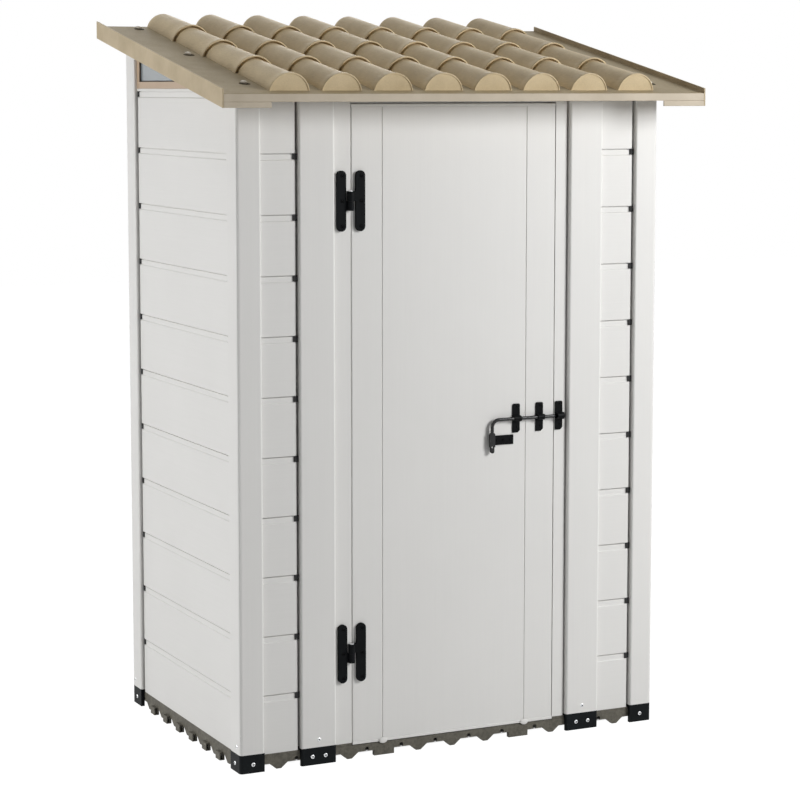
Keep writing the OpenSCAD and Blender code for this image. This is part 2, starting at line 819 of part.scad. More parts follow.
// Courses of boards; the lowest web stays clear of the feet.
module wall(n, len) {
    color(wall_c) for (i = [0:n - 1]) translate([0, 0, board_z + i * course_h]) board(len, i == 0 ? 1 : 0);
}

// The back wall, whose top board is cut to the height of the rail.
module boards_back() {
    difference() {
        at_back_wall() wall(back_n, back_len);
        translate([-half_w, back_wall_y - cut, back_top]) cube([body_w, board_t + 2 * cut, course_h]);
    }
}

// Places something drawn for a wall that runs along X at each of the body's walls.
module at_left_wall() {
    translate([-half_w + board_set, sash_y0, 0]) swap_xy() children();
}
module at_back_wall() {
    translate([-half_w + post_w, back_y - board_set, 0]) mirror([0, 1, 0]) children();
}
module at_front_left_wall() {
    translate([-half_w + post_w, front_y + board_set, 0]) children();
}
module at_front_right_wall() {
    translate([half_w - post_w - front_bay, front_y + board_set, 0]) children();
}

// Soft blocks that close the slot at each joint of a wall's boards.
module clips(n, len) {
    for (i = [1:n]) translate([len - slot_w, 0, board_z + i * course_h - band_h]) {
        translate([fit / 3, cut, 0]) cube([slot_w - 2 * fit / 3, end_d - cut - fit, band_h]);
        translate([-slot_w, fit, fit]) cube([slot_w + cut, band_in - 2 * fit, band_h - 2 * fit]);
    }
}

module board_clips() {
    color(black_c) {
        at_left_wall() clips(course_n, side_len);
        mirror([1, 0, 0]) at_left_wall() clips(course_n, side_len);
        at_back_wall() clips(back_joints, back_len);
        at_front_left_wall() clips(course_n, front_bay);
        at_front_right_wall() clips(course_n, front_bay);
    }
}

// The gable's outline, drawn in by a distance: a wedge under the roof's slope.
module gable(inset) {
    z = sash_z + inset;
    drop = inset / cos(pitch);
    y1 = sash_y1 - inset;
    y0 = max(sash_y0 + inset, roof_front + (z + drop - under_z) / slope);
    polygon([[y0, z], [y1, z], [y1, under(y1) - drop], [y0, max(z, under(y0) - drop)]]);
}

module window_frame(right) {
    color(roof_c) difference() {
        mirror([right, 0, 0]) difference() {
            along_x(-half_w + board_set, board_t) gable(fit / 3);
            along_x(-half_w + board_set - cut, board_t) gable(sash_w);
            along_x(-half_w + board_set + sash_lip, board_t) gable(sash_w - rebate);
        }
        at_roof_screws() rotate([-90, 0, 0]) drill(screw_r, roof_screw_l);
    }
}

module window_seal() {
    color(black_c) along_x(-half_w + board_set + sash_lip, seal_t) difference() {
        gable(sash_w - rebate + fit);
        gable(sash_w + seal_show);
    }
}

module window_pane() {
    color(pane_c) along_x(-half_w + board_set + sash_lip + seal_t, pane_t) gable(sash_w - rebate + fit);
}

// The sloping sheet of the roof with a drip edge along its back.
module roof_pan() {
    x = -roof_half + edge_t;
    y0 = roof_front + edge_t;
    color(roof_c) difference() {
        along_x(x, -2 * x) polygon([
            [y0, under(y0)], [roof_back - edge_t, under(roof_back - edge_t)],
            [roof_back - edge_t, under(roof_back) - drip_h], [roof_back, under(roof_back) - drip_h],
            [roof_back, under(roof_back) + pan_t], [y0, under(y0) + pan_t]]);
        at_roof_screws() rotate([-90, 0, 0]) drill(screw_r, roof_screw_l);
    }
}

// A column of half-round tiles along Y in the plane of the slope, hollow and closed at its front.
module tile_column() {
    col_len = tile_len * tile_n;
    difference() {
        translate([0, 0, -tile_sink]) {
            for (i = [0:tile_n - 1]) translate([0, i * tile_len, 0]) rotate([-90, 0, 0]) {
                cylinder(r1 = tile_r, r2 = tile_r_up, h = tile_len + (i < tile_n - 1 ? weld : 0));
                cylinder(r = tile_r + rim_out, h = rim_w);
            }
        }
        translate([0, tile_wall, -tile_sink]) rotate([-90, 0, 0])
            cylinder(r = tile_r_up - tile_wall, h = col_len);
        translate([-2 * tile_r, -cut, -2 * tile_r]) cube([4 * tile_r, col_len + 2 * cut, 2 * tile_r]);
    }
}

module roof_tiles() {
    y = roof_front + tile_front;
    color(roof_c) for (i = [0:col_n - 1])
        translate([(i - (col_n - 1) / 2) * col_pitch, y, under(y) + pan_t])
            rotate([pitch, 0, 0]) tile_column();
}

// A side edge board with a ledge under the roof sheet.
module bargeboard() {
    y0 = roof_front + edge_t + ledge_w + fit;
    y1 = roof_back - edge_t - fit;
    low = barge_h - upstand - pan_t;
    color(roof_c) {
        along_x(-roof_half, edge_t) polygon([
            [roof_front, under_z - low], [roof_back, under(roof_back) - low],
            [roof_back, under(roof_back) + pan_t + upstand], [roof_front, rim_top]]);
        along_x(-roof_half + edge_t - weld, ledge_w + weld) polygon([
            [y0, under(y0) - ledge_t], [y1, under(y1) - ledge_t],
            [y1, under(y1) - lie], [y0, under(y0) - lie]]);
    }
}

// The front edge board with its ledge.
module eaves_trim() {
    x = -roof_half + edge_t;
    y0 = roof_front + edge_t;
    y1 = y0 + ledge_w;
    color(roof_c) along_x(x, -2 * x) {
        translate([roof_front, eaves_z]) square([edge_t, eaves_h]);
        polygon([
            [y0 - weld, under(y0 - weld) - ledge_t], [y1, under(y1) - ledge_t], [y1, under(y1) - lie],
            [y0 - weld, under(y0 - weld) - lie]]);
    }
}

// The deep ends under the front edge board.
module eaves_corners() {
    color(roof_c) for (right = [0, 1]) mirror([right, 0, 0])
        translate([-roof_half + edge_t, roof_front, rim_top - barge_h])
            cube([deep_end - edge_t, edge_t, eaves_z - rim_top + barge_h]);
}

module roof_screws() {
    color(roof_c) at_roof_screws() {
        cylinder(r = roof_cap_r, h = roof_cap_h);
        translate([0, 0, -roof_screw_l]) cylinder(r = screw_r, h = roof_screw_l + weld);
    }
}

// A hollow upright of the leaf seen from above, bevelled along its front edges.
module leaf_section(w, cells) {
    cell = (w - leaf_wall) / cells;
    difference() {
        polygon([[bevel, 0], [w - bevel, 0], [w, bevel], [w, leaf_t], [0, leaf_t], [0, bevel]]);
        for (i = [0:cells - 1]) translate([leaf_wall + i * cell, leaf_wall])
            square([cell - leaf_wall, leaf_t - 2 * leaf_wall]);
    }
}

module leaf_upright(x, w, cells) {
    translate([x, leaf_y, leaf_z + rail_h]) linear_extrude(stile_len) leaf_section(w, cells);
}

module door_hinge_stile() {
    color(wall_c) difference() {
        leaf_upright(leaf_x, stile_w, 2);
        at_hinge_screws(door_screw_x) drill(screw_r, hinge_screw_l);
    }
}

module door_panel() {
    color(wall_c) difference() {
        leaf_upright(leaf_x + stile_w, panel_w, leaf_cells);
        at_guide_screws(lock_x - guide_1) drill(small_r, guide_screw_l);
        at_hasp_screws() drill(small_r, guide_screw_l);
    }
}

module door_lock_stile() {
    color(wall_c) difference() {
        leaf_upright(lock_x - stile_w, stile_w, 2);
        at_guide_screws(lock_x - guide_2) drill(small_r, guide_screw_l);
    }
}

// A channel that closes the leaf's uprights at the bottom or the top.
module leaf_rail() {
    along_x(leaf_x, leaf_w) difference() {
        square([leaf_t, rail_h]);
        translate([leaf_wall, -cut]) square([leaf_t - 2 * leaf_wall, rail_h - leaf_wall + cut]);
    }
}

module door_bottom_rail() {
    color(wall_c) translate([0, leaf_y, leaf_z]) leaf_rail();
}

module door_top_rail() {
    color(wall_c) translate([0, leaf_y, leaf_top]) mirror([0, 0, 1]) leaf_rail();
}

// A hinge plate with round ends and sunk holes, from x, as wide as w.
module hinge_plate(x, w, screw_x) {
    difference() {
        along_y(leaf_y - plate_t, plate_t) union() {
            translate([x, -plate_h / 2 + w / 2]) square([w, plate_h - w]);
            for (side = [-1, 1]) translate([x + w / 2, side * (plate_h - w) / 2]) circle(w / 2);
        }
        for (dz = plate_screws) translate([screw_x, leaf_y - plate_t, dz]) {
            drill(screw_r + run, plate_t + cut);
            drill(head_r - run, sink_h);
        }
    }
}

// Half a knuckle round the hinge axis, from z over a height h, with a web to its plate.
module knuckle(z, h, web_x, web_w, web_y) {
    difference() {
        union() {
            translate([axis_x, axis_y, z]) cylinder(r = knuckle_r, h = h);
            translate([web_x, leaf_y - plate_t, z]) cube([web_w, web_y, h]);
        }
        translate([axis_x, axis_y, z - cut]) cylinder(r = pin_r + run, h = h + 2 * cut);
    }
}

module hinge_frame_leaves() {
    half = (knuckle_h - fit) / 2;
    x = frame_plate_x + frame_plate_w - cut;
    color(black_c) for (z = hinge_zs) translate([0, 0, z]) {
        hinge_plate(frame_plate_x, frame_plate_w, frame_screw_x);
        knuckle(-knuckle_h / 2, half, x, axis_x - pin_r - cut - x, plate_t);
    }
}

module hinge_door_leaves() {
    half = (knuckle_h - fit) / 2;
    x = axis_x + pin_r + cut;
    color(black_c) for (z = hinge_zs) translate([0, 0, z]) {
        hinge_plate(door_plate_x, door_plate_w, door_screw_x);
        knuckle(fit / 2, half, x, door_plate_x + cut - x, plate_t - fit);
    }
}

// Hinge pins with a head on top of each knuckle.
module hinge_pins() {
    color(zinc_c) for (z = hinge_zs) translate([axis_x, axis_y, z]) {
        translate([0, 0, -knuckle_h / 2]) cylinder(r = pin_r, h = knuckle_h + fit + weld);
        translate([0, 0, knuckle_h / 2 + fit]) cylinder(r = pin_head_r, h = pin_head_h);
    }
}

// A plate with a loop over the bolt; the top corners are rounded and the lower right is clipped.
module guide(x, hole, outer) {
    difference() {
        union() {
            along_y(leaf_y - guide_t, guide_t)
                translate([x - guide_w / 2, bolt_z + guide_up - guide_h]) difference() {
                    soft_rect(guide_w, guide_h, [0, 0, guide_corner, guide_corner]);
                    translate([guide_w, 0]) rotate(45)
                        square([guide_corner * 2, guide_corner * 2], center = true);
                }
            along_x(x - guide_w / 2 + cut, guide_w - 2 * cut) translate([rod_y, bolt_z]) {
                circle(outer);
                translate([0, -outer]) square([rod_front - guide_t + weld, 2 * outer]);
            }
        }
        translate([x - guide_w, rod_y, bolt_z]) rotate([0, 90, 0]) cylinder(r = hole, h = 2 * guide_w);
    }
}

module bolt_guides() {
    color(black_c) for (d = [guide_1, guide_2]) difference() {
        guide(lock_x - d, rod_r + run, loop_r);
        at_guide_screws(lock_x - d) drill(small_r, guide_t + cut);
    }
}

module bolt_keeper() {
    color(black_c) difference() {
        guide(keeper_x, keeper_r, loop_r + keeper_r - rod_r);
        at_guide_screws(keeper_x) drill(small_r, guide_t + cut);
    }
}

rod_x = handle_x - bolt_travel + bend_r;

// The straight bolt, rounded at its tip and bored for the handle's spigot.
module bolt_rod() {
    tip = rod_r / 2;
    color(black_c) translate([rod_x + fit, rod_y, bolt_z]) rotate([0, 90, 0]) difference() {
        union() {
            cylinder(r = rod_r, h = rod_tip - rod_x - fit - tip);
            translate([0, 0, rod_tip - rod_x - fit - tip])
                cylinder(r1 = rod_r, r2 = rod_r - tip / 2, h = tip);
        }
        translate([0, 0, -cut]) cylinder(r = spigot_r + run, h = spigot_l + cut + fit);
    }
}

// The bent handle: a round bar down to a flat end with a padlock hole.
module bolt_handle() {
    arm_x = rod_x - bend_r;
    color(black_c) translate([arm_x, rod_y, bolt_z]) {
        translate([bend_r, 0, 0]) rotate([0, 90, 0]) cylinder(r = spigot_r, h = spigot_l);
        translate([bend_r, 0, -bend_r]) rotate([90, 0, 0])
            rotate([0, 0, 90]) rotate_extrude(angle = 90) translate([bend_r, 0]) circle(rod_r);
        translate([0, 0, -paddle_top]) cylinder(r = rod_r, h = paddle_top - bend_r);
        difference() {
            along_y(-paddle_t / 2, paddle_t) {
                translate([-paddle_w / 2, -handle_l + paddle_w])
                    square([paddle_w, handle_l - paddle_w - paddle_top + cut]);
                translate([-paddle_tip_w / 2, -handle_l + paddle_tip_w / 2])
                    square([paddle_tip_w, paddle_w]);
                translate([0, -handle_l + paddle_tip_w / 2]) circle(paddle_tip_w / 2);
                translate([0, -paddle_top]) circle(paddle_w / 2);
            }
            translate([0, -paddle_t, -padlock_drop]) drill(padlock_r, 2 * paddle_t);
        }
    }
}

// The plate behind the handle, with a short horn that ends just behind the handle.
module hasp_plate() {
    horn_r = 2;
    horn_y = rod_y + paddle_t / 2 + fit + fit;
    color(black_c) difference() {
        union() {
            translate([hasp_x - hasp_w / 2, leaf_y - guide_t, hasp_z - hasp_h / 2])
                cube([hasp_w, guide_t, hasp_h]);
            translate([hasp_x, horn_y, hasp_z]) rotate([-90, 0, 0]) cylinder(r = horn_r, h = leaf_y - horn_y);
        }
        at_hasp_screws() drill(small_r, guide_t + cut);
    }
}

module frame_screws() {
    color(zinc_c) {
        at_foot_screws() screw(head_r, screw_r, foot_screw_l);
        at_post_screws() screw(head_r, screw_r, post_screw_l);
        at_hinge_screws(frame_screw_x) screw(head_r - 2 * fit, screw_r, hinge_screw_l);
        at_guide_screws(keeper_x) screw(small_head_r, small_r, guide_screw_l);
    }
}

module door_screws() {
    color(zinc_c) {
        at_hinge_screws(door_screw_x) screw(head_r - 2 * fit, screw_r, hinge_screw_l);
        for (d = [guide_1, guide_2]) at_guide_screws(lock_x - d) screw(small_head_r, small_r, guide_screw_l);
        at_hasp_screws() screw(small_head_r, small_r, guide_screw_l);
    }
}

floor_tile(0, 0);  // floor_tile_front_left
floor_tile(1, 0);  // floor_tile_front_middle
floor_tile(2, 0);  // floor_tile_front_right
floor_tile(0, 1);  // floor_tile_back_left
floor_tile(1, 1);  // floor_tile_back_middle
floor_tile(2, 1);  // floor_tile_back_right
sill_strips();
corner_foot(0, 0);  // corner_foot_front_left
corner_foot(1, 0);  // corner_foot_front_right
corner_foot(0, 1);  // corner_foot_back_left
corner_foot(1, 1);  // corner_foot_back_right
door_foot(0);  // door_foot_left
door_foot(1);  // door_foot_right
corner_post(0, 0);  // corner_post_front_left
corner_post(1, 0);  // corner_post_front_right
corner_post(0, 1);  // corner_post_back_left
corner_post(1, 1);  // corner_post_back_right
door_post(0);  // door_post_left
door_post(1);  // door_post_right
hinge_jamb();
lock_jamb();
door_header();
top_rails();
back_rail();
at_left_wall() wall(course_n, side_len);  // boards_left
mirror([1, 0, 0]) at_left_wall() wall(course_n, side_len);  // boards_right
boards_back();
at_front_left_wall() wall(course_n, front_bay);  // boards_front_left
at_front_right_wall() wall(course_n, front_bay);  // boards_front_right
board_clips();
window_frame(0);  // window_frame_left
window_frame(1);  // window_frame_right
window_pane();  // window_pane_left
mirror([1, 0, 0]) window_pane();  // window_pane_right
window_seal();  // window_seal_left
mirror([1, 0, 0]) window_seal();  // window_seal_right
roof_pan();
roof_tiles();
bargeboard();  // bargeboard_left
mirror([1, 0, 0]) bargeboard();  // bargeboard_right
eaves_trim();
eaves_corners();
roof_screws();
door_hinge_stile();
door_panel();
door_lock_stile();
door_top_rail();
door_bottom_rail();
hinge_frame_leaves();
hinge_door_leaves();
hinge_pins();
bolt_guides();
bolt_keeper();
bolt_rod();
bolt_handle();
hasp_plate();
frame_screws();
door_screws();
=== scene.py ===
import math

import bmesh
import bpy
from mathutils import Matrix, Vector


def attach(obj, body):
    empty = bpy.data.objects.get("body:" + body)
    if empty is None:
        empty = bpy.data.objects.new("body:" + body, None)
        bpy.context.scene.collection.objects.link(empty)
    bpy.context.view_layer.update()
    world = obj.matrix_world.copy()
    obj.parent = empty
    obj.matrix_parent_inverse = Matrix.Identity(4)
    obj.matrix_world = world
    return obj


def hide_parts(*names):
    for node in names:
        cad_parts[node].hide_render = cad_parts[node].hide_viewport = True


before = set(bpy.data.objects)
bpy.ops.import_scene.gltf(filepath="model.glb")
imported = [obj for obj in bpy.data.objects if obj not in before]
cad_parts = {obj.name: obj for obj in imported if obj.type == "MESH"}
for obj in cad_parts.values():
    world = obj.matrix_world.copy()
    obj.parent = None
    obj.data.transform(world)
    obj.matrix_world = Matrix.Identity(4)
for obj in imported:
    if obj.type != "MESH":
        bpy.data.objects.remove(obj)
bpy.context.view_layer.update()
scene = bpy.context.scene
scene.view_settings.view_transform = "Standard"

# Camera: stands to the left of the door, at about the height of a grown-up's
# head, and looks slightly down at the middle of the shed.
lens_data = bpy.data.cameras.new("camera")
lens_data.sensor_width = 36
lens_data.lens = 2371.96 / 800 * lens_data.sensor_width
lens_data.shift_y = -0.06
lens_data.clip_end = 60
camera = bpy.data.objects.new("camera", lens_data)
camera.location = (-2.7549, -5.7267, 1.7120)
camera.rotation_euler = (math.radians(83.608), 0, math.radians(-25.792))
scene.collection.objects.link(camera)
scene.camera = camera


# Ground and light: a wide white floor, a soft main light from the upper right
# of the door, a paler one from the left, one over the roof and one behind.
class Flow:
    """A socket of a node tree, with arithmetic that adds Math nodes."""

    def __init__(self, tree, socket=None):
        self.tree, self.socket = tree, socket

    def add(self, kind, settings=None, values=None, out=0):
        """Adds a node; its settings are set first, then the values or links of its sockets."""
        node = self.tree.nodes.new(kind)
        for key, value in (settings or {}).items():
            if key == "stops":
                for place, (position, colour) in enumerate(value):
                    ramp = node.color_ramp.elements
                    stop = ramp[place] if place < len(ramp) else ramp.new(position)
                    stop.position, stop.color = position, colour
            else:
                setattr(node, key, value)
        for key, value in (values or {}).items():
            if isinstance(value, Flow):
                self.tree.links.new(value.socket, node.inputs[key])
            else:
                node.inputs[key].default_value = value
        return Flow(self.tree, node.outputs[out] if node.outputs else None)

    def maths(self, operation, first, second=0.0, clamp=False):
        return self.add("ShaderNodeMath", {"operation": operation, "use_clamp": clamp}, {0: first, 1: second})

    def __add__(self, other):
        return self.maths("ADD", self, other)

    def __mul__(self, other):
        return self.maths("MULTIPLY", self, other)

    def __sub__(self, other):
        return self.maths("SUBTRACT", self, other)

    def __rsub__(self, other):
        return self.maths("SUBTRACT", other, self)

    __radd__, __rmul__ = __add__, __mul__

    def blend(self, low, high):
        """A colour between two others, by this socket's value."""
        return self.add("ShaderNodeMix", {"data_type": "RGBA"}, {0: self, 6: low, 7: high}, out=2)


def srgb(red, green, blue):
    """A colour given in the numbers of a picture, from 0 to 255, as the shader wants it."""
    linear = [c / 255 / 12.92 if c <= 10 else ((c / 255 + 0.055) / 1.055) ** 2.4
              for c in (red, green, blue)]
    return (*linear, 1.0)


def put_in_scene(name, mesh):
    thing = bpy.data.objects.new(name, mesh)
    scene.collection.objects.link(thing)
    return thing


def seen_directly(flow):
    """1 for what the camera, a gloss or a clear pane shows, 0 for what only gives light."""
    by_camera = flow.add("ShaderNodeLightPath", out=0)
    in_gloss = flow.add("ShaderNodeLightPath", out=3)
    through_pane = flow.add("ShaderNodeLightPath", out=6)
    return flow.maths("ADD", by_camera + in_gloss, through_pane, clamp=True)


world = bpy.data.worlds.new("studio")
world.use_nodes = True
world.node_tree.nodes.clear()
sky = Flow(world.node_tree)
dim = sky.add("ShaderNodeBackground", None, {"Color": srgb(250, 251, 255), "Strength": 0.10})
white = sky.add("ShaderNodeBackground", None, {"Color": (1, 1, 1, 1), "Strength": 1.0})
both = sky.add("ShaderNodeMixShader", None, {0: seen_directly(sky), 1: dim, 2: white})
sky.add("ShaderNodeOutputWorld", None, {"Surface": both})
scene.world = world

ground_mesh = bpy.data.meshes.new("ground")
reach = 14.0
corners = [(-reach, -reach, 0), (reach, -reach, 0), (reach, reach, 0), (-reach, reach, 0)]
ground_mesh.from_pydata(corners, [], [(0, 1, 2, 3)])
ground = put_in_scene("ground", ground_mesh)
ground_paint = bpy.data.materials.new("ground_paint")
ground_paint.use_nodes = True
ground_paint.node_tree.nodes.clear()
paint = Flow(ground_paint.node_tree)
shade_x, shade_y, shade_mid_y = 0.54, 0.34, 0.05
spot = paint.add("ShaderNodeSeparateXYZ", None, {"Vector": paint.add("ShaderNodeTexCoord", out=3)})
across, inwards = Flow(spot.tree, spot.socket.node.outputs[0]), Flow(spot.tree, spot.socket.node.outputs[1])
beyond_side = paint.maths("ABSOLUTE", across) - shade_x
beyond_front = paint.maths("ABSOLUTE", inwards - shade_mid_y) - shade_y
outside = paint.maths("ADD", paint.maths("MAXIMUM", beyond_side, beyond_front) * 50, 0.5, clamp=True)
matt = paint.add("ShaderNodeBsdfDiffuse", None, {"Color": (0.78, 0.78, 0.78, 1)})
glow = paint.add("ShaderNodeEmission", None, {"Color": (1, 1, 1, 1), "Strength": 1.15})
both = paint.add("ShaderNodeMixShader", None, {0: seen_directly(paint) * outside * 0.88, 1: matt, 2: glow})
paint.add("ShaderNodeOutputMaterial", None, {"Surface": both})
ground_mesh.materials.append(ground_paint)


def lamp(name, place, target, width, height, power, tint=(1, 1, 1)):
    """A rectangular soft light at a place, aimed at a target."""
    data = bpy.data.lights.new(name, "AREA")
    data.shape, data.size, data.size_y, data.energy, data.color = "RECTANGLE", width, height, power, tint
    light = put_in_scene(name, data)
    light.location = place
    light.rotation_euler = (Vector(target) - Vector(place)).to_track_quat("-Z", "Y").to_euler()


lamp("main_light", (2.6, -3.0, 2.4), (0.1, -0.3, 0.8), 1.2, 1.6, 125)
lamp("left_light", (-4.9, 0.6, 1.5), (-0.6, 0.05, 0.95), 2.6, 1.9, 116)
lamp("roof_light", (-1.3, 0.5, 5.0), (0, 0, 1.7), 2.2, 2.2, 26)
lamp("back_light", (1.6, 5.2, 2.8), (0, 0.4, 0.9), 2.6, 2.6, 40)


# Floor: six interlocking tiles moulded in mottled taupe plastic. They stand on
# teeth, with a broad foot beside each seam and eyelets and keyholes at their edges.
def noise(flow, coordinates, scale, detail=2.0, roughness=0.5, stretch=(1, 1, 1)):
    """Cloudy values round 0.5; stretch multiplies the coordinates."""
    place = flow.add("ShaderNodeMapping", {"vector_type": "POINT"}, {"Vector": coordinates, "Scale": stretch})
    sizes = {"Vector": place, "Scale": scale, "Detail": detail, "Roughness": roughness}
    return flow.add("ShaderNodeTexNoise", {"noise_dimensions": "3D"}, sizes)


def spread(flow, value, low, high):
    """Stretches the values from low to high over 0 to 1."""
    return flow.add("ShaderNodeMapRange", {"clamp": True}, {0: value, 1: low, 2: high})


def moulded(name, pale, dark, rough, patch=7.0, grain=900.0, grain_depth=0.00006, drawn=(1, 1, 1),
            streak=0.0, speckle=0.0, metal=0.0, shine=0.5):
    """A plastic or metal finish: soft patches, streaks along the drawn direction, specks and a fine grain."""
    finish = bpy.data.materials.new(name)
    finish.use_nodes = True
    finish.node_tree.nodes.clear()
    flow = Flow(finish.node_tree)
    place = flow.add("ShaderNodeTexCoord", out=3)
    patches = spread(flow, noise(flow, place, patch, 4.0, 0.6), 0.3, 0.7)
    fine = noise(flow, place, grain, 2.0)
    tone = patches
    if streak:
        streaks = spread(flow, noise(flow, place, 9.0, 3.0, 0.6, drawn), 0.3, 0.7)
        tone = tone * (1 - streak) + streaks * streak
    if speckle:
        specks = spread(flow, noise(flow, place, grain / 5, 3.0, 0.7), 0.35, 0.65)
        tone = tone * (1 - speckle) + specks * speckle
    colour = tone.blend(dark, pale)
    gloss = fine * 0.12 + tone * -0.06 + (rough - 0.03)
    relief = flow.add("ShaderNodeBump", None, {"Strength": 0.6, "Distance": grain_depth, "Height": fine})
    values = {"Base Color": colour, "Roughness": gloss, "Metallic": metal, "Normal": relief,
              "Specular IOR Level": shine}
    surface = flow.add("ShaderNodeBsdfPrincipled", None, values)
    flow.add("ShaderNodeOutputMaterial", None, {"Surface": surface})
    return finish


def settle(name, mesh, finish, body, stands_for=(), rounding=0.0, steps=2):
    """Rounds a mesh's edges, evens its normals and makes it a finished piece on a body."""
    mesh.materials.clear()
    mesh.materials.append(finish)
    for face in mesh.polygons:
        face.use_smooth = True
        face.material_index = 0
    thing = put_in_scene(name, mesh)
    if rounding:
        bevel = thing.modifiers.new("rounding", "BEVEL")
        bevel.width, bevel.segments = rounding, steps
        bevel.limit_method, bevel.angle_limit = "ANGLE", math.radians(35)
        bevel.use_clamp_overlap, bevel.miter_outer = True, "MITER_SHARP"
    else:
        mesh.set_sharp_from_angle(angle=math.radians(40))
    even = thing.modifiers.new("even", "WEIGHTED_NORMAL")
    even.weight, even.keep_sharp = 80, not rounding
    shown_mesh = bpy.data.meshes.new_from_object(thing.evaluated_get(bpy.context.evaluated_depsgraph_get()))
    thing.modifiers.clear()
    thing.data = shown_mesh
    shown_mesh.name = name
    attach(thing, body)
    if stands_for:
        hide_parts(*stands_for)
    return thing


def softened(node, rounding, finish, body, steps=2):
    """A copy of a solid with its triangles joined and its edges rounded, as it leaves the mould."""
    shape = bmesh.new()
    shape.from_mesh(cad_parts[node].data)
    bmesh.ops.remove_doubles(shape, verts=shape.verts, dist=2e-6)
    bmesh.ops.dissolve_limit(shape, angle_limit=math.radians(1), verts=shape.verts, edges=shape.edges)
    mesh = bpy.data.meshes.new(node + "_shape")
    shape.to_mesh(mesh)
    shape.free()
    return settle(node + "_shape", mesh, finish, body, [node], rounding, steps)


floor_plastic = moulded("floor_plastic", srgb(112, 108, 97), srgb(78, 76, 69), 0.62, patch=22.0, grain=700.0,
                        grain_depth=0.00025, speckle=0.6, shine=0.3)
for row in ("front", "back"):
    for column in ("left", "middle", "right"):
        softened(f"floor_tile_{row}_{column}", 0.0016, floor_plastic, "shed")
softened("sill_strips", 0.0006, floor_plastic, "shed")

# Feet: black shoes moulded in hard plastic, one under each corner post and
# each door post. Their skirts lap over the edge of the floor.
foot_plastic = moulded("foot_plastic", srgb(22, 26, 28), srgb(13, 15, 17), 0.5, patch=18.0, grain=1100.0,
                       grain_depth=0.00012, shine=0.08)
for row in ("front", "back"):
    for side in ("left", "right"):
        softened(f"corner_foot_{row}_{side}", 0.0014, foot_plastic, "shed", steps=3)
for side in ("left", "right"):
    softened(f"door_foot_{side}", 0.0014, foot_plastic, "shed", steps=3)

# Posts: hollow uprights drawn in pale grey plastic. They stand over the feet's
# bosses, and their front edges are rounded.
upright_plastic = moulded("upright_plastic", srgb(230, 229, 226), srgb(226, 225, 222), 0.46, patch=3.0,
                          grain_depth=0.00003, drawn=(30, 30, 0.4), streak=0.4)
for row in ("front", "back"):
    for side in ("left", "right"):
        softened(f"corner_post_{row}_{side}", 0.0008, upright_plastic, "shed")
for side in ("left", "right"):
    softened(f"door_post_{side}", 0.0008, upright_plastic, "shed")

# Wall boards: hollow boards stacked in courses between the posts. The top of
# each face is set back, and a narrow reveal under the next board shows as a line.
board_t, course_h, board_z = 0.026, 0.1507, 0.041
band_h, band_in, tongue_h, tongue_t = 0.015, 0.0025, 0.005, 0.008
post_gap, slot_w, reveal_h, reveal_in = 0.0003, 0.0065, 0.0022, 0.004
board_plastic = moulded("board_plastic", srgb(230, 229, 226), srgb(226, 225, 222), 0.46, patch=2.5,
                        grain_depth=0.00003, drawn=(0.5, 0.5, 40), streak=0.4)


def rounded(corners, steps=3):
    """An outline from corners (x, y, radius), with an arc at each corner that has a radius."""
    points = []
    for place, (x, y, radius) in enumerate(corners):
        here = Vector((x, y))
        before = (Vector(corners[place - 1][:2]) - here).normalized()
        after = (Vector(corners[(place + 1) % len(corners)][:2]) - here).normalized()
        if radius == 0:
            points.append(here)
            continue
        half = before.angle(after) / 2
        start, end = here + before * radius / math.tan(half), here + after * radius / math.tan(half)
        middle = here + (before + after).normalized() * radius / math.sin(half)
        for step in range(steps + 1):
            mixed = start.lerp(end, step / steps) - middle
            points.append(middle + mixed.normalized() * radius)
    return points


def drawn_out(name, outline, start, end, place):
    """A closed bar with an outline (depth, height), drawn from start to end along X, then put in place."""
    shape = bmesh.new()
    rings = [[shape.verts.new(place @ Vector((x, p[0], p[1]))) for p in outline] for x in (start, end)]
    count = len(outline)
    for i in range(count):
        shape.faces.new((rings[0][i], rings[0][(i + 1) % count], rings[1][(i + 1) % count], rings[1][i]))
    shape.faces.new(rings[0])
    shape.faces.new(rings[1])
    bmesh.ops.recalc_face_normals(shape, faces=shape.faces)
    mesh = bpy.data.meshes.new(name)
    shape.to_mesh(mesh)
    shape.free()
    return mesh


def new_tree(name, sizes):
    """A Geometry Nodes tree with named inputs: gives the tree, its inputs and its sizes' identifiers."""
    tree = bpy.data.node_groups.new(name, "GeometryNodeTree")
    tree.interface.new_socket("Geometry", in_out="INPUT", socket_type="NodeSocketGeometry")
    tree.interface.new_socket("Geometry", in_out="OUTPUT", socket_type="NodeSocketGeometry")
    keys = {size: tree.interface.new_socket(size, in_out="INPUT", socket_type=kind).identifier
            for size, kind in sizes.items()}
    entry = tree.nodes.new("NodeGroupInput")
    return tree, {socket.name: Flow(tree, socket) for socket in entry.outputs if socket.name}, keys


def end_tree(tree, shape, finish):
    """Closes a tree: instances become real and get their finish."""
    flow = Flow(tree)
    real = flow.add("GeometryNodeRealizeInstances", None, {"Geometry": shape})
    flow.add("GeometryNodeSetMaterial", None, {"Geometry": real, "Material": finish})
    done = Flow(tree, tree.nodes[-1].outputs[0])
    flow.add("NodeGroupOutput", None, {"Geometry": done})


def grow(name, mesh, tree, keys, values):
    """Runs a tree on a mesh and gives the plain mesh that comes out."""
    seed = put_in_scene(name + "_seed", mesh)
    steps = seed.modifiers.new("steps", "NODES")
    steps.node_group = tree
    for size, value in values.items():
        steps[keys[size]] = value
    grown = bpy.data.meshes.new_from_object(seed.evaluated_get(bpy.context.evaluated_depsgraph_get()))
    bpy.data.objects.remove(seed)
    return grown


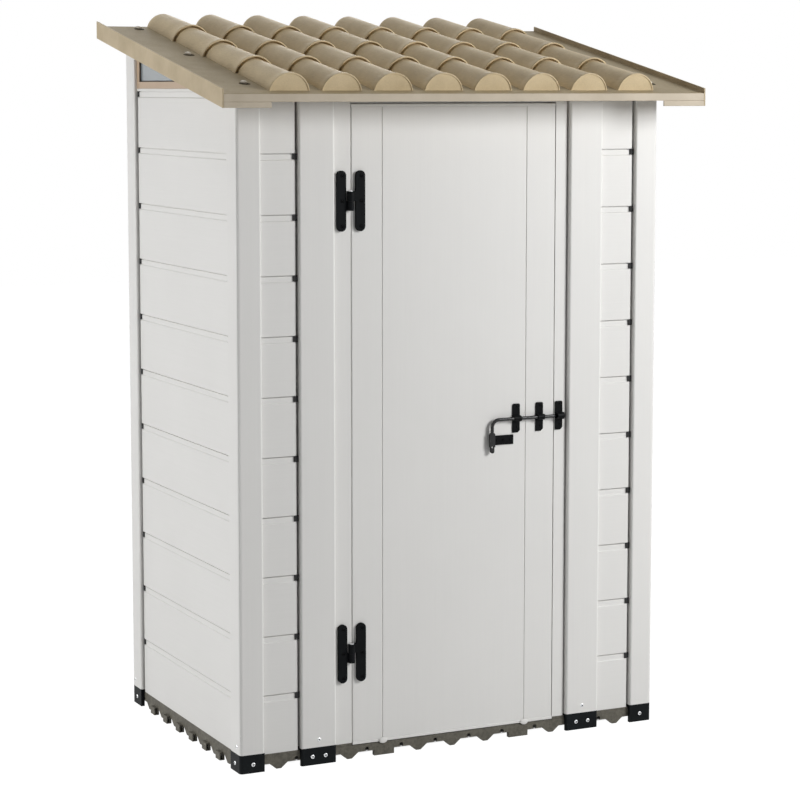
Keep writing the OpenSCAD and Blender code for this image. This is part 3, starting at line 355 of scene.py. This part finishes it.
stack, given, stack_keys = new_tree("board_courses", {
    "Courses": "NodeSocketInt", "Course height": "NodeSocketFloat"})
flow = Flow(stack)
rise = flow.add("ShaderNodeCombineXYZ", None, {"Z": given["Course height"]})
feet = flow.add("GeometryNodeMeshLine", {"mode": "OFFSET"}, {"Count": given["Courses"], "Offset": rise})
courses = flow.add("GeometryNodeInstanceOnPoints", None, {"Points": feet, "Instance": given["Geometry"]})
end_tree(stack, courses, board_plastic)

tongue_d, fit = (board_t - tongue_t) / 2, 0.0003
tongue_back = tongue_d + tongue_t
board_outline = rounded([
    (0, 0, 0.0016), (0, course_h - band_h - band_in, 0.0016), (band_in, course_h - band_h, 0.001),
    (band_in, course_h - reveal_h, 0.0004), (band_in + reveal_in, course_h - reveal_h, 0),
    (band_in + reveal_in, course_h, 0), (tongue_d, course_h, 0), (tongue_d, course_h + tongue_h, 0.001),
    (tongue_back, course_h + tongue_h, 0.001), (tongue_back, course_h, 0), (board_t, course_h, 0.0008),
    (board_t, 0, 0.0008), (tongue_back + fit, 0, 0), (tongue_back + fit, tongue_h + fit, 0),
    (tongue_d - fit, tongue_h + fit, 0), (tongue_d - fit, 0, 0)])
along_side = Matrix(((0, 1, 0), (1, 0, 0), (0, 0, 1))).to_4x4()
flip_x, flip_y = Matrix.Diagonal((-1, 1, 1, 1)), Matrix.Diagonal((1, -1, 1, 1))
side_x, front_y, back_y = 0.5905, -0.3405, 0.4405
inner_x, inner_y, bay_x = 0.534, -0.284, 0.433
side_l, back_l, bay_l = 0.668, 1.068, 0.101
walls = {
    "boards_left": (Matrix.Translation((-side_x, inner_y, board_z)) @ along_side, side_l, 11),
    "boards_right": (Matrix.Translation((side_x, inner_y, board_z)) @ flip_x @ along_side, side_l, 11),
    "boards_back": (Matrix.Translation((-inner_x, back_y, board_z)) @ flip_y, back_l, 12),
    "boards_front_left": (Matrix.Translation((-inner_x, front_y, board_z)), bay_l, 11),
    "boards_front_right": (Matrix.Translation((bay_x, front_y, board_z)), bay_l, 11),
}
for wall, (place, length, count) in walls.items():
    board = drawn_out(wall, board_outline, post_gap, length - slot_w, place)
    grown = grow(wall, board, stack, stack_keys, {"Courses": count, "Course height": course_h})
    settle(wall + "_courses", grown, board_plastic, "shed", [wall])

# Soft black blocks that close the slot at the end of each joint of the boards.
seal_rubber = moulded("seal_rubber", srgb(30, 30, 31), srgb(16, 16, 17), 0.8, patch=30.0, grain=1500.0)
for node in ("board_clips", "window_seal_left", "window_seal_right"):
    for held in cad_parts[node].material_slots:
        held.material = seal_rubber

# Rails, jambs and header: pale bars between the boards and the roof, beside
# the leaf and over it.
for node in ("top_rails", "back_rail", "hinge_jamb", "lock_jamb", "door_header"):
    softened(node, 0.001, upright_plastic, "shed")

# Gable windows: a beige frame round a translucent pane with a black seal.
sash_plastic = moulded("sash_plastic", srgb(188, 164, 139), srgb(180, 156, 131), 0.42, patch=5.0)
pane_plastic = bpy.data.materials.new("pane_plastic")
pane_plastic.use_nodes = True
pane_plastic.node_tree.nodes.clear()
flow = Flow(pane_plastic.node_tree)
place = flow.add("ShaderNodeTexCoord", out=3)
haze = spread(flow, noise(flow, place, 4.0, 3.0), 0.3, 0.7)
pane_values = {"Base Color": haze.blend(srgb(162, 170, 174), srgb(174, 182, 186)),
               "Roughness": haze * 0.1 + 0.16, "Transmission Weight": 0.35, "IOR": 1.5, "Coat Weight": 0.3}
surface = flow.add("ShaderNodeBsdfPrincipled", None, pane_values)
flow.add("ShaderNodeOutputMaterial", None, {"Surface": surface})
for side in ("left", "right"):
    softened(f"window_frame_{side}", 0.0012, sash_plastic, "shed")
    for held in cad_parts[f"window_pane_{side}"].material_slots:
        held.material = pane_plastic

# Roof sheet and its edge boards: beige plastic, moulded with soft patches.
# The side boards stand proud of the sheet, and the front one ends level with it.
roof_plastic = moulded("roof_plastic", srgb(178, 163, 133), srgb(153, 138, 109), 0.55, patch=9.0, grain=800.0,
                       grain_depth=0.0001, drawn=(60, 2, 60), streak=0.35, shine=0.15)
edge_plastic = moulded("edge_plastic", srgb(196, 180, 151), srgb(175, 159, 130), 0.5, patch=9.0, shine=0.2)
trim_plastic = moulded("trim_plastic", srgb(205, 193, 174), srgb(189, 177, 157), 0.5, patch=9.0, shine=0.2)
softened("roof_pan", 0.0012, roof_plastic, "shed")
for side in ("left", "right"):
    softened(f"bargeboard_{side}", 0.0012, edge_plastic, "shed")
for node in ("eaves_trim", "eaves_corners"):
    softened(node, 0.0012, trim_plastic, "shed")

# Roof tiles: columns of half-round tiles that narrow upwards. A rim stands open
# over the tile below it, and the lowest tile of a column is closed by a flat cap.
tile_r, tile_taper, tile_sink, rim_out, rim_w, tile_wall = 0.052, 0.006, 0.010, 0.0025, 0.014, 0.0025
columns, column_pitch, rows, slope = 8, 0.1393, 4, math.radians(11.05)
roof_front, roof_back, sheet_z, tile_front, tile_air = -0.460, 0.460, 1.693918, 0.038, 0.00016
tile_len = (roof_back - roof_front - tile_front) / rows / math.cos(slope) - tile_air


def swept_tile(name, outline, steps=28):
    """Turns an outline (length, radius) round the tile's axis, from the sheet on one side to the other."""
    shape = bmesh.new()
    rings = []
    for step in range(steps + 1):
        turn = 2 * step / steps - 1
        ring = []
        for along, radius in outline:
            angle = turn * math.acos(min(1, tile_sink / radius))
            point = (radius * math.sin(angle), along, radius * math.cos(angle) - tile_sink)
            ring.append(shape.verts.new(point))
        rings.append(ring)
    count = len(outline)
    for a, b in zip(rings, rings[1:]):
        for i in range(count):
            shape.faces.new((a[i], a[(i + 1) % count], b[(i + 1) % count], b[i]))
    shape.faces.new(rings[0])
    shape.faces.new(rings[-1])
    bmesh.ops.remove_doubles(shape, verts=shape.verts, dist=1e-6)
    bmesh.ops.dissolve_degenerate(shape, edges=shape.edges, dist=1e-6)
    bmesh.ops.recalc_face_normals(shape, faces=shape.faces)
    mesh = bpy.data.meshes.new(name)
    shape.to_mesh(mesh)
    shape.free()
    return mesh


rim_r, narrow_r = tile_r + rim_out, tile_r - tile_taper
back_of_tile = [(0.5 * rim_w, rim_r - 0.0001), (rim_w, rim_r - 0.0007), (1.6 * rim_w, tile_r + 0.0004),
                (2.3 * rim_w, tile_r - 0.0008), (tile_len, narrow_r), (tile_len, narrow_r - tile_wall)]
rim_front = [(0, rim_r - 0.0010), (0.0003, rim_r - 0.0003), (0.0010, rim_r)]
mouth_in, mouth_low, mouth_high = 0.012, narrow_r + 0.0003, rim_r - 0.003
open_tile = swept_tile("open_tile", [(0, narrow_r - tile_wall), (0, mouth_low), (mouth_in, mouth_low),
                                     (mouth_in, mouth_high), (0, mouth_high)] + rim_front + back_of_tile)
cap_in, cap_back = 0.0015, 0.004
cap_face = [(cap_in, tile_sink), (cap_in, rim_r - 0.0042), (0.0004, rim_r - 0.0036), (0, rim_r - 0.003)]
closed_tile = swept_tile("closed_tile", cap_face + rim_front + back_of_tile
                         + [(cap_back, narrow_r - tile_wall), (cap_back, tile_sink)])
tile_sizes = {"Closed tile": "NodeSocketObject", "Columns": "NodeSocketInt",
              "Column pitch": "NodeSocketFloat", "Upper rows": "NodeSocketInt",
              "Tile length": "NodeSocketFloat", "Slope": "NodeSocketFloat", "Start": "NodeSocketVector"}
tiling, given, tiling_keys = new_tree("roof_tiling", tile_sizes)
flow = Flow(tiling)
step_up = flow.add("ShaderNodeCombineXYZ", None, {"Y": given["Tile length"]})
row_line = flow.add("GeometryNodeMeshLine", {"mode": "OFFSET"},
                    {"Count": given["Upper rows"], "Start Location": step_up, "Offset": step_up})
upper = flow.add("GeometryNodeInstanceOnPoints", None, {"Points": row_line, "Instance": given["Geometry"]})
lowest = flow.add("GeometryNodeObjectInfo", {"transform_space": "ORIGINAL"},
                  {"Object": given["Closed tile"]}, out=4)
column = flow.add("GeometryNodeJoinGeometry", None, {"Geometry": upper})
tiling.links.new(lowest.socket, column.socket.node.inputs[0])
half_way = given["Column pitch"] * (given["Columns"] - 1) * -0.5
column_line = flow.add("GeometryNodeMeshLine", {"mode": "OFFSET"}, {
    "Count": given["Columns"], "Start Location": flow.add("ShaderNodeCombineXYZ", None, {"X": half_way}),
    "Offset": flow.add("ShaderNodeCombineXYZ", None, {"X": given["Column pitch"]})})
field = flow.add("GeometryNodeInstanceOnPoints", None, {"Points": column_line, "Instance": column})
tilt = flow.add("ShaderNodeCombineXYZ", None, {"X": given["Slope"]})
laid = flow.add("GeometryNodeTransform", None,
                {"Geometry": field, "Translation": given["Start"], "Rotation": tilt})
tile_plastic = moulded("tile_plastic", srgb(228, 209, 173), srgb(196, 177, 141), 0.46, patch=11.0,
                       grain=800.0, grain_depth=0.0001, drawn=(70, 2.5, 70), streak=0.45, shine=0.12)
end_tree(tiling, laid, tile_plastic)
lowest_tile = put_in_scene("lowest_tile", closed_tile)
start_y = roof_front + tile_front
start = (0, start_y, sheet_z + (start_y - roof_front) * math.tan(slope))
tiles = grow("roof_tiles", open_tile, tiling, tiling_keys, {
    "Closed tile": lowest_tile, "Columns": columns, "Column pitch": column_pitch, "Upper rows": rows - 1,
    "Tile length": tile_len, "Slope": slope, "Start": start})
bpy.data.objects.remove(lowest_tile)
settle("roof_tile_columns", tiles, tile_plastic, "shed", ["roof_tiles"])

# Door leaf: two stiles and a panel drawn as hollow uprights, closed by a rail
# at the bottom and one at the top, with a bevelled joint beside each stile.
for node in ("door_hinge_stile", "door_panel", "door_lock_stile", "door_top_rail", "door_bottom_rail"):
    softened(node, 0.0009, upright_plastic, "door")

# Lip and runners: a low lip moulded along the leaf's lower edge, and under each
# joint of the leaf a lens-shaped runner that hangs in front of the floor's edge.
leaf_left, leaf_right, leaf_low, leaf_front, stile_w = -0.286, 0.2975, 0.036, -0.338, 0.085
lip_out, lip_h, runner_size, runner_up = 0.0018, 0.0072, (0.0115, 0.0025, 0.0075), 0.0025
lip_back = lip_out + 0.0005
lip_outline = rounded([(0, 0, 0.0006), (0, lip_h, 0.0012), (lip_back, lip_h, 0), (lip_back, 0, 0)])
lip = drawn_out("leaf_lip", lip_outline, leaf_left, leaf_right,
                Matrix.Translation((0, leaf_front - lip_out, leaf_low)))
settle("leaf_lip", lip, upright_plastic, "door")


def lenses(name, places, size):
    """A mesh of flattened balls with the given half sizes, one at each placement."""
    shape = bmesh.new()
    for place in places:
        bmesh.ops.create_uvsphere(shape, u_segments=32, v_segments=16, radius=1,
                                  matrix=place @ Matrix.Diagonal((*size, 1)))
    mesh = bpy.data.meshes.new(name)
    shape.to_mesh(mesh)
    shape.free()
    return mesh


runner_places = [Matrix.Translation((joint_x, leaf_front - 0.004, leaf_low + runner_up))
                 for joint_x in (leaf_left + stile_w, leaf_right - stile_w)]
runners = lenses("leaf_runners", runner_places, runner_size)
settle("leaf_runners", runners, upright_plastic, "door")

# Hinges: thick black plates with round ends, joined by a knuckle on a zinc pin.
hinge_plastic = moulded("hinge_plastic", srgb(18, 20, 22), srgb(10, 12, 13), 0.5, patch=20.0, grain=1200.0,
                        grain_depth=0.0001, shine=0.06)
softened("hinge_frame_leaves", 0.0016, hinge_plastic, "shed", steps=3)
softened("hinge_door_leaves", 0.0016, hinge_plastic, "door", steps=3)
zinc_steel = moulded("zinc_steel", srgb(238, 239, 240), srgb(212, 214, 216), 0.3, patch=60.0, grain=1800.0,
                     grain_depth=0.00004, metal=1.0)
softened("hinge_pins", 0.0005, zinc_steel, "shed")

# Slide bolt: a round bolt in two guides, a keeper on the jamb, a bent handle
# with a flat end and a hasp plate, all of powder-coated steel.
black_steel = moulded("black_steel", srgb(16, 17, 19), srgb(8, 9, 10), 0.4, patch=30.0, grain=1400.0,
                      grain_depth=0.00012, shine=0.06)
softened("bolt_guides", 0.0006, black_steel, "door")
softened("bolt_keeper", 0.0006, black_steel, "shed")
rod_steel = moulded("rod_steel", srgb(18, 19, 21), srgb(11, 12, 14), 0.2, patch=30.0, grain=1400.0,
                    grain_depth=0.00003, shine=0.4)
softened("bolt_rod", 0.0006, rod_steel, "bolt")
softened("bolt_handle", 0.0006, rod_steel, "handle")
softened("hasp_plate", 0.0006, black_steel, "door")

# Screws: domed cross-head screws, zinc-plated in the feet and posts and black
# in the hinges and bolt plates. The cross sunk in each head is painted dark as shade.
screw_r, sunk_screw_r, small_screw_r = 0.0052, 0.0042, 0.003


def screw_head(name):
    """A domed head of radius 1 that faces away from -Y, with a cross sunk in it."""
    shape = bmesh.new()
    profile = [(1.0, 0.0), (1.0, -0.14), (0.92, -0.27), (0.74, -0.37), (0.45, -0.42), (0.0, -0.43)]
    ends = [shape.verts.new((r, depth, 0)) for r, depth in profile]
    edges = [shape.edges.new(pair) for pair in zip(ends, ends[1:])]
    bmesh.ops.spin(shape, geom=ends + edges, cent=(0, 0, 0), axis=(0, 1, 0), angle=2 * math.pi, steps=24,
                   use_merge=True)
    bmesh.ops.remove_doubles(shape, verts=shape.verts, dist=1e-4)
    rim = [edge for edge in shape.edges if edge.is_boundary]
    bmesh.ops.contextual_create(shape, geom=rim)
    bmesh.ops.recalc_face_normals(shape, faces=shape.faces)
    mesh = bpy.data.meshes.new(name)
    shape.to_mesh(mesh)
    shape.free()
    head = put_in_scene(name, mesh)
    cross = bmesh.new()
    for size in ((1.35, 0.5, 0.36), (0.36, 0.5, 1.35)):
        place = Matrix.Translation((0, -0.43, 0)) @ Matrix.Diagonal((*size, 1))
        bmesh.ops.create_cube(cross, size=1, matrix=place)
    cutter_mesh = bpy.data.meshes.new(name + "_cross")
    cross.to_mesh(cutter_mesh)
    cross.free()
    cutter = put_in_scene(name + "_cross", cutter_mesh)
    sunk = head.modifiers.new("cross", "BOOLEAN")
    sunk.operation, sunk.object, sunk.solver, sunk.use_self = "DIFFERENCE", cutter, "EXACT", True
    made = bpy.data.meshes.new_from_object(head.evaluated_get(bpy.context.evaluated_depsgraph_get()))
    bpy.data.objects.remove(head)
    bpy.data.objects.remove(cutter)
    # Faces inside the cross get the mark "sunk", where the finish paints shade.
    made.attributes.new("sunk", "FLOAT", "FACE")
    for face in made.polygons:
        in_cross = math.hypot(face.center.x, face.center.z) < 0.7 and face.center.y > -0.36
        made.attributes["sunk"].data[face.index].value = 1.0 if in_cross else 0.0
    return made


screw_tree, given, screw_keys = new_tree("screw_heads", {"Head": "NodeSocketObject"})
flow = Flow(screw_tree)
head_shape = flow.add("GeometryNodeObjectInfo", {"transform_space": "ORIGINAL"},
                      {"Object": given["Head"]}, out=4)
turn = flow.add("GeometryNodeInputNamedAttribute", {"data_type": "FLOAT_VECTOR"}, {"Name": "turn"})
size = flow.add("GeometryNodeInputNamedAttribute", {"data_type": "FLOAT"}, {"Name": "size"})
heads = flow.add("GeometryNodeInstanceOnPoints", None, {
    "Points": given["Geometry"], "Instance": head_shape,
    "Rotation": flow.add("FunctionNodeEulerToRotation", None, {"Euler": turn}), "Scale": size})
end_tree(screw_tree, heads, zinc_steel)
head_object = put_in_scene("screw_head", screw_head("screw_head_shape"))


def with_painted_cross_shade(finish, name):
    """A copy of a finish with painted shade inside the cross of a head: its colour darkened there and its
    metal taken away.
    """
    copy = finish.copy()
    copy.name = name
    flow = Flow(copy.node_tree)
    shader = next(node for node in copy.node_tree.nodes if node.bl_idname == "ShaderNodeBsdfPrincipled")
    colour, metallic = shader.inputs["Base Color"], shader.inputs["Metallic"]
    sunk = flow.add("ShaderNodeAttribute", {"attribute_name": "sunk"}, out=2)
    plain = Flow(copy.node_tree, colour.links[0].from_socket)
    copy.node_tree.links.new(sunk.blend(plain, srgb(8, 8, 8)).socket, colour)
    # Inside the cross the metal is taken away too, so that no reflection lightens the painted shade.
    if metallic.default_value:
        copy.node_tree.links.new(((1 - sunk) * metallic.default_value).socket, metallic)
    return copy


head_zinc = with_painted_cross_shade(zinc_steel, "head_zinc")
screw_black = with_painted_cross_shade(black_steel, "screw_black")


def screws(name, places, body, finish, stands_for=()):
    """Screw heads at places (point, direction faced, head radius), each turned a little differently."""
    mesh = bpy.data.meshes.new(name)
    mesh.from_pydata([place for place, facing, radius in places], [], [])
    mesh.attributes.new("turn", "FLOAT_VECTOR", "POINT")
    mesh.attributes.new("size", "FLOAT", "POINT")
    quarter = {"front": 0.0, "right": 0.5, "back": 1.0, "left": -0.5}
    for i, (place, facing, radius) in enumerate(places):
        mesh.attributes["turn"].data[i].vector = (0, (i * 0.83) % 1.5, quarter[facing] * math.pi)
        mesh.attributes["size"].data[i].value = radius
    grown = grow(name, mesh, screw_tree, screw_keys, {"Head": head_object})
    settle(name, grown, finish, body, stands_for)


body_x, body_front, corner_x, foot_z, post_z, door_post_z = 0.600, -0.350, 0.565, 0.022, 0.067, 0.0645
corners = ((body_front, -0.315, -0.328, "front"), (0.450, 0.415, 0.428, "back"))
frame_places = []
for right, side in ((-1, "left"), (1, "right")):
    for face_y, side_y, post_y, facing in corners:
        frame_places += [((right * corner_x, face_y, foot_z), facing, screw_r),
                         ((right * body_x, side_y, foot_z), side, screw_r),
                         ((right * body_x, post_y, post_z), side, screw_r)]
    frame_places += [((right * x, body_front, foot_z), "front", screw_r) for x in (0.4025, 0.3665)]
    frame_places.append(((right * 0.3845, body_front, door_post_z), "front", screw_r))
hinge_rows = [z + dz for z in (0.277, 1.4277) for dz in (-0.06325, 0, 0.06325)]
hinge_face, plate_face, guide_rows, hasp_row = -0.3427, -0.3405, (0.883, 0.829), 0.797
screws("frame_screw_heads", frame_places, "shed", head_zinc, ["frame_screws"])
jamb_places = [((-0.3138, hinge_face, z), "front", sunk_screw_r) for z in hinge_rows]
jamb_places += [((0.31475, plate_face, z), "front", small_screw_r) for z in guide_rows]
screws("jamb_screw_heads", jamb_places, "shed", screw_black)
door_places = [((-0.26175, hinge_face, z), "front", sunk_screw_r) for z in hinge_rows]
door_places += [((x, plate_face, z), "front", small_screw_r) for x in (0.18725, 0.25625) for z in guide_rows]
door_places += [((x, plate_face, hasp_row), "front", small_screw_r) for x in (0.1275, 0.1665)]
screws("door_screw_heads", door_places, "door", screw_black, ["door_screws"])
bpy.data.objects.remove(head_object)

# Roof fixings: a pale rounded cap over each roof screw, on a flat dark oval laid on the sheet
# as painted shade for the shadowed hollow round it. They stand in a row along each side, and one is over the
# door.
cap_plastic = moulded("cap_plastic", srgb(230, 221, 204), srgb(212, 203, 186), 0.4, patch=30.0)
# The oval's dark colour is painted shade, not the colour of the sheet.
shade_oval_paint = moulded("shade_oval_paint", srgb(66, 58, 44), srgb(44, 38, 28), 0.7, patch=30.0, shine=0.05)
cap_size, cap_up, shade_oval_size, shade_oval_down = (0.0085, 0.0085, 0.0045), 0.0025, (0.0145, 0.015, 0.0007), 0.007
tilted = Matrix.Rotation(slope, 4, "X")
fixings = [(x, y) for x in (-0.569, 0.585) for y in (-0.328, 0.050, 0.428)] + [(0, -0.318)]
on_sheet = [Matrix.Translation((x, y, sheet_z + (y - roof_front) * math.tan(slope))) @ tilted
            for x, y in fixings]
cap_places = [place @ Matrix.Translation((0, 0, cap_up)) for place in on_sheet]
caps = lenses("roof_caps", cap_places, cap_size)
settle("roof_caps", caps, cap_plastic, "shed", ["roof_screws"])
# Each painted-shade oval lies flat on the sheet, just under its cap.
shade_oval_places = [place @ Matrix.Translation((0, -shade_oval_down, 0)) for place in on_sheet]
shade_ovals = lenses("roof_hollows", shade_oval_places, shade_oval_size)
settle("roof_hollows", shade_ovals, shade_oval_paint, "shed")
